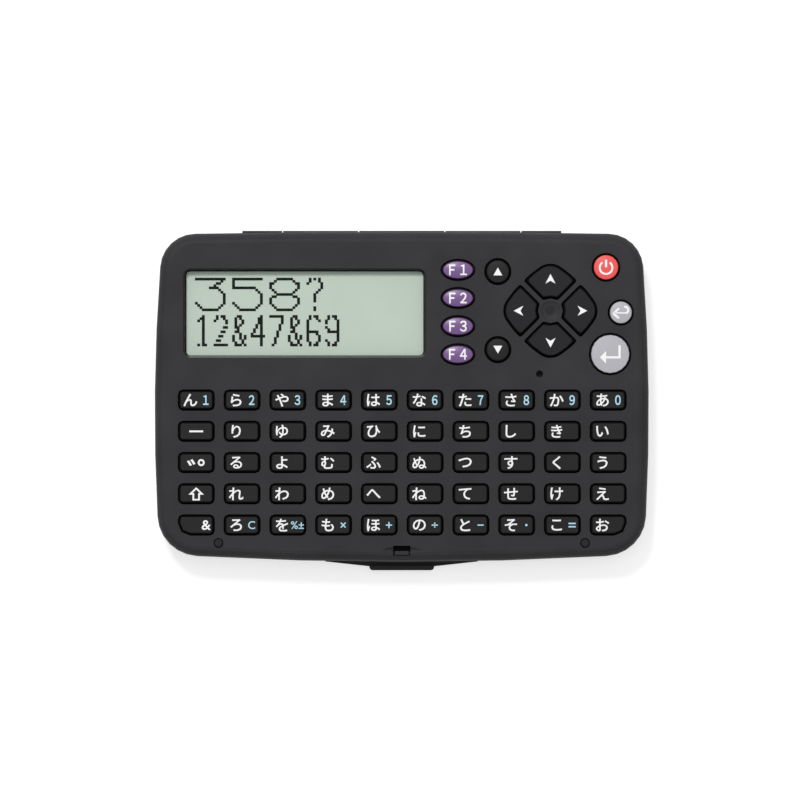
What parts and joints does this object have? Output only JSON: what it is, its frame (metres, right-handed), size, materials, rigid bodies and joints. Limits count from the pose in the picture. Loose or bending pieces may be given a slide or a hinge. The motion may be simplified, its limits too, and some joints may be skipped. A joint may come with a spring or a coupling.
{
  "type": "electronic dictionary",
  "caption": "Pocket electronic dictionary with a display, letter keys, arrow pad and a hinged lid folded flat behind its body.",
  "frame": {"origin": "middle of the footprint, on the surface that the folded lid's rim lies on", "axes": "+X to the right along the face, +Y up the face towards the hinge, +Z out of the face"},
  "size_m": [0.119, 0.0816, 0.0137],
  "materials": {
    "case_black": "fine moulded texture, near black",
    "key_black": "smooth semi-matt moulding",
    "arrow_black": "smooth semi-matt moulding",
    "mode_purple": "satin moulding",
    "power_red": "satin moulding",
    "key_grey": "satin moulding",
    "lid_black": "fine moulded texture",
    "window_clear": "clear acrylic",
    "display_green": "reflective display glass",
    "board_green": "solder mask",
    "rubber_grey": "moulded silicone",
    "rubber_black": "moulded rubber",
    "steel": "plain steel"
  },
  "bodies": {
    "housing": {"front_case": "case_black", "rear_case": "case_black", "coin_cell": "steel", "battery_contact_plus": "steel", "battery_contact_minus": "steel", "circuit_board": "board_green", "key_membrane": "rubber_grey", "lcd_panel": "display_green", "lcd_window": "window_clear", "lcd_connector": "rubber_black", "bumper_left": "rubber_black", "bumper_right": "rubber_black"},
    "battery_door": {"battery_door": "case_black"},
    "hinge_link": {"hinge_link": "lid_black", "hinge_pin_body": "steel", "hinge_pin_lid": "steel"},
    "lid": {"lid": "lid_black"},
    "key_mode_1": {"key_mode_1": "mode_purple"},
    "key_mode_2": {"key_mode_2": "mode_purple"},
    "key_mode_3": {"key_mode_3": "mode_purple"},
    "key_mode_4": {"key_mode_4": "mode_purple"},
    "key_previous": {"key_previous": "key_black"},
    "key_next": {"key_next": "key_black"},
    "key_power": {"key_power": "power_red"},
    "key_back": {"key_back": "key_grey"},
    "key_enter": {"key_enter": "key_grey"},
    "key_up": {"key_up": "arrow_black"},
    "key_left": {"key_left": "arrow_black"},
    "key_down": {"key_down": "arrow_black"},
    "key_right": {"key_right": "arrow_black"},
    "key_digit_1": {"key_digit_1": "key_black"},
    "key_digit_2": {"key_digit_2": "key_black"},
    "key_digit_3": {"key_digit_3": "key_black"},
    "key_digit_4": {"key_digit_4": "key_black"},
    "key_digit_5": {"key_digit_5": "key_black"},
    "key_digit_6": {"key_digit_6": "key_black"},
    "key_digit_7": {"key_digit_7": "key_black"},
    "key_digit_8": {"key_digit_8": "key_black"},
    "key_digit_9": {"key_digit_9": "key_black"},
    "key_digit_0": {"key_digit_0": "key_black"},
    "key_pair_upper_1": {"key_pair_upper_1": "key_black"},
    "key_pair_upper_2": {"key_pair_upper_2": "key_black"},
    "key_pair_upper_3": {"key_pair_upper_3": "key_black"},
    "key_pair_upper_4": {"key_pair_upper_4": "key_black"},
    "key_pair_upper_5": {"key_pair_upper_5": "key_black"},
    "key_pair_upper_6": {"key_pair_upper_6": "key_black"},
    "key_pair_upper_7": {"key_pair_upper_7": "key_black"},
    "key_pair_upper_8": {"key_pair_upper_8": "key_black"},
    "key_pair_upper_9": {"key_pair_upper_9": "key_black"},
    "key_pair_upper_10": {"key_pair_upper_10": "key_black"},
    "key_pair_lower_1": {"key_pair_lower_1": "key_black"},
    "key_pair_lower_2": {"key_pair_lower_2": "key_black"},
    "key_pair_lower_3": {"key_pair_lower_3": "key_black"},
    "key_pair_lower_4": {"key_pair_lower_4": "key_black"},
    "key_pair_lower_5": {"key_pair_lower_5": "key_black"},
    "key_pair_lower_6": {"key_pair_lower_6": "key_black"},
    "key_pair_lower_7": {"key_pair_lower_7": "key_black"},
    "key_pair_lower_8": {"key_pair_lower_8": "key_black"},
    "key_pair_lower_9": {"key_pair_lower_9": "key_black"},
    "key_pair_lower_10": {"key_pair_lower_10": "key_black"}
  },
  "joints": [
    {"name": "link_hinge", "type": "hinge", "parent": "housing", "child": "hinge_link", "pos_m": [0, 0.03975, 0.00835], "axis": [1, 0, 0], "range_deg": [0, 180]},
    {"name": "lid_hinge", "type": "hinge", "parent": "hinge_link", "child": "lid", "pos_m": [0, 0.03975, 0.00245], "axis": [1, 0, 0], "range_deg": [0, 180]},
    {"name": "battery_door_turn", "type": "hinge", "parent": "housing", "child": "battery_door", "pos_m": [-0.028, 0.01315, 0.0037], "axis": [0, 0, 1], "range_deg": [0, 60]},
    {"name": "press_mode_1", "type": "slide", "parent": "housing", "child": "key_mode_1", "axis": [0, 0, -1], "range_m": [0, 0.0006], "stiffness_N_per_m": 250, "springref_m": -0.0004},
    {"name": "press_mode_2", "type": "slide", "parent": "housing", "child": "key_mode_2", "axis": [0, 0, -1], "range_m": [0, 0.0006], "stiffness_N_per_m": 250, "springref_m": -0.0004},
    {"name": "press_mode_3", "type": "slide", "parent": "housing", "child": "key_mode_3", "axis": [0, 0, -1], "range_m": [0, 0.0006], "stiffness_N_per_m": 250, "springref_m": -0.0004},
    {"name": "press_mode_4", "type": "slide", "parent": "housing", "child": "key_mode_4", "axis": [0, 0, -1], "range_m": [0, 0.0006], "stiffness_N_per_m": 250, "springref_m": -0.0004},
    {"name": "press_previous", "type": "slide", "parent": "housing", "child": "key_previous", "axis": [0, 0, -1], "range_m": [0, 0.0006], "stiffness_N_per_m": 250, "springref_m": -0.0004},
    {"name": "press_next", "type": "slide", "parent": "housing", "child": "key_next", "axis": [0, 0, -1], "range_m": [0, 0.0006], "stiffness_N_per_m": 250, "springref_m": -0.0004},
    {"name": "press_power", "type": "slide", "parent": "housing", "child": "key_power", "axis": [0, 0, -1], "range_m": [0, 0.0006], "stiffness_N_per_m": 250, "springref_m": -0.0004},
    {"name": "press_back", "type": "slide", "parent": "housing", "child": "key_back", "axis": [0, 0, -1], "range_m": [0, 0.0006], "stiffness_N_per_m": 250, "springref_m": -0.0004},
    {"name": "press_enter", "type": "slide", "parent": "housing", "child": "key_enter", "axis": [0, 0, -1], "range_m": [0, 0.0006], "stiffness_N_per_m": 250, "springref_m": -0.0004},
    {"name": "press_up", "type": "slide", "parent": "housing", "child": "key_up", "axis": [0, 0, -1], "range_m": [0, 0.0006], "stiffness_N_per_m": 250, "springref_m": -0.0004},
    {"name": "press_left", "type": "slide", "parent": "housing", "child": "key_left", "axis": [0, 0, -1], "range_m": [0, 0.0006], "stiffness_N_per_m": 250, "springref_m": -0.0004},
    {"name": "press_down", "type": "slide", "parent": "housing", "child": "key_down", "axis": [0, 0, -1], "range_m": [0, 0.0006], "stiffness_N_per_m": 250, "springref_m": -0.0004},
    {"name": "press_right", "type": "slide", "parent": "housing", "child": "key_right", "axis": [0, 0, -1], "range_m": [0, 0.0006], "stiffness_N_per_m": 250, "springref_m": -0.0004},
    {"name": "press_digit_1", "type": "slide", "parent": "housing", "child": "key_digit_1", "axis": [0, 0, -1], "range_m": [0, 0.0006], "stiffness_N_per_m": 250, "springref_m": -0.0004},
    {"name": "press_digit_2", "type": "slide", "parent": "housing", "child": "key_digit_2", "axis": [0, 0, -1], "range_m": [0, 0.0006], "stiffness_N_per_m": 250, "springref_m": -0.0004},
    {"name": "press_digit_3", "type": "slide", "parent": "housing", "child": "key_digit_3", "axis": [0, 0, -1], "range_m": [0, 0.0006], "stiffness_N_per_m": 250, "springref_m": -0.0004},
    {"name": "press_digit_4", "type": "slide", "parent": "housing", "child": "key_digit_4", "axis": [0, 0, -1], "range_m": [0, 0.0006], "stiffness_N_per_m": 250, "springref_m": -0.0004},
    {"name": "press_digit_5", "type": "slide", "parent": "housing", "child": "key_digit_5", "axis": [0, 0, -1], "range_m": [0, 0.0006], "stiffness_N_per_m": 250, "springref_m": -0.0004},
    {"name": "press_digit_6", "type": "slide", "parent": "housing", "child": "key_digit_6", "axis": [0, 0, -1], "range_m": [0, 0.0006], "stiffness_N_per_m": 250, "springref_m": -0.0004},
    {"name": "press_digit_7", "type": "slide", "parent": "housing", "child": "key_digit_7", "axis": [0, 0, -1], "range_m": [0, 0.0006], "stiffness_N_per_m": 250, "springref_m": -0.0004},
    {"name": "press_digit_8", "type": "slide", "parent": "housing", "child": "key_digit_8", "axis": [0, 0, -1], "range_m": [0, 0.0006], "stiffness_N_per_m": 250, "springref_m": -0.0004},
    {"name": "press_digit_9", "type": "slide", "parent": "housing", "child": "key_digit_9", "axis": [0, 0, -1], "range_m": [0, 0.0006], "stiffness_N_per_m": 250, "springref_m": -0.0004},
    {"name": "press_digit_0", "type": "slide", "parent": "housing", "child": "key_digit_0", "axis": [0, 0, -1], "range_m": [0, 0.0006], "stiffness_N_per_m": 250, "springref_m": -0.0004},
    {"name": "press_pair_upper_1", "type": "slide", "parent": "housing", "child": "key_pair_upper_1", "axis": [0, 0, -1], "range_m": [0, 0.0006], "stiffness_N_per_m": 250, "springref_m": -0.0004},
    {"name": "press_pair_upper_2", "type": "slide", "parent": "housing", "child": "key_pair_upper_2", "axis": [0, 0, -1], "range_m": [0, 0.0006], "stiffness_N_per_m": 250, "springref_m": -0.0004},
    {"name": "press_pair_upper_3", "type": "slide", "parent": "housing", "child": "key_pair_upper_3", "axis": [0, 0, -1], "range_m": [0, 0.0006], "stiffness_N_per_m": 250, "springref_m": -0.0004},
    {"name": "press_pair_upper_4", "type": "slide", "parent": "housing", "child": "key_pair_upper_4", "axis": [0, 0, -1], "range_m": [0, 0.0006], "stiffness_N_per_m": 250, "springref_m": -0.0004},
    {"name": "press_pair_upper_5", "type": "slide", "parent": "housing", "child": "key_pair_upper_5", "axis": [0, 0, -1], "range_m": [0, 0.0006], "stiffness_N_per_m": 250, "springref_m": -0.0004},
    {"name": "press_pair_upper_6", "type": "slide", "parent": "housing", "child": "key_pair_upper_6", "axis": [0, 0, -1], "range_m": [0, 0.0006], "stiffness_N_per_m": 250, "springref_m": -0.0004},
    {"name": "press_pair_upper_7", "type": "slide", "parent": "housing", "child": "key_pair_upper_7", "axis": [0, 0, -1], "range_m": [0, 0.0006], "stiffness_N_per_m": 250, "springref_m": -0.0004},
    {"name": "press_pair_upper_8", "type": "slide", "parent": "housing", "child": "key_pair_upper_8", "axis": [0, 0, -1], "range_m": [0, 0.0006], "stiffness_N_per_m": 250, "springref_m": -0.0004},
    {"name": "press_pair_upper_9", "type": "slide", "parent": "housing", "child": "key_pair_upper_9", "axis": [0, 0, -1], "range_m": [0, 0.0006], "stiffness_N_per_m": 250, "springref_m": -0.0004},
    {"name": "press_pair_upper_10", "type": "slide", "parent": "housing", "child": "key_pair_upper_10", "axis": [0, 0, -1], "range_m": [0, 0.0006], "stiffness_N_per_m": 250, "springref_m": -0.0004},
    {"name": "press_pair_lower_1", "type": "slide", "parent": "housing", "child": "key_pair_lower_1", "axis": [0, 0, -1], "range_m": [0, 0.0006], "stiffness_N_per_m": 250, "springref_m": -0.0004},
    {"name": "press_pair_lower_2", "type": "slide", "parent": "housing", "child": "key_pair_lower_2", "axis": [0, 0, -1], "range_m": [0, 0.0006], "stiffness_N_per_m": 250, "springref_m": -0.0004},
    {"name": "press_pair_lower_3", "type": "slide", "parent": "housing", "child": "key_pair_lower_3", "axis": [0, 0, -1], "range_m": [0, 0.0006], "stiffness_N_per_m": 250, "springref_m": -0.0004},
    {"name": "press_pair_lower_4", "type": "slide", "parent": "housing", "child": "key_pair_lower_4", "axis": [0, 0, -1], "range_m": [0, 0.0006], "stiffness_N_per_m": 250, "springref_m": -0.0004},
    {"name": "press_pair_lower_5", "type": "slide", "parent": "housing", "child": "key_pair_lower_5", "axis": [0, 0, -1], "range_m": [0, 0.0006], "stiffness_N_per_m": 250, "springref_m": -0.0004},
    {"name": "press_pair_lower_6", "type": "slide", "parent": "housing", "child": "key_pair_lower_6", "axis": [0, 0, -1], "range_m": [0, 0.0006], "stiffness_N_per_m": 250, "springref_m": -0.0004},
    {"name": "press_pair_lower_7", "type": "slide", "parent": "housing", "child": "key_pair_lower_7", "axis": [0, 0, -1], "range_m": [0, 0.0006], "stiffness_N_per_m": 250, "springref_m": -0.0004},
    {"name": "press_pair_lower_8", "type": "slide", "parent": "housing", "child": "key_pair_lower_8", "axis": [0, 0, -1], "range_m": [0, 0.0006], "stiffness_N_per_m": 250, "springref_m": -0.0004},
    {"name": "press_pair_lower_9", "type": "slide", "parent": "housing", "child": "key_pair_lower_9", "axis": [0, 0, -1], "range_m": [0, 0.0006], "stiffness_N_per_m": 250, "springref_m": -0.0004},
    {"name": "press_pair_lower_10", "type": "slide", "parent": "housing", "child": "key_pair_lower_10", "axis": [0, 0, -1], "range_m": [0, 0.0006], "stiffness_N_per_m": 250, "springref_m": -0.0004}
  ]
}
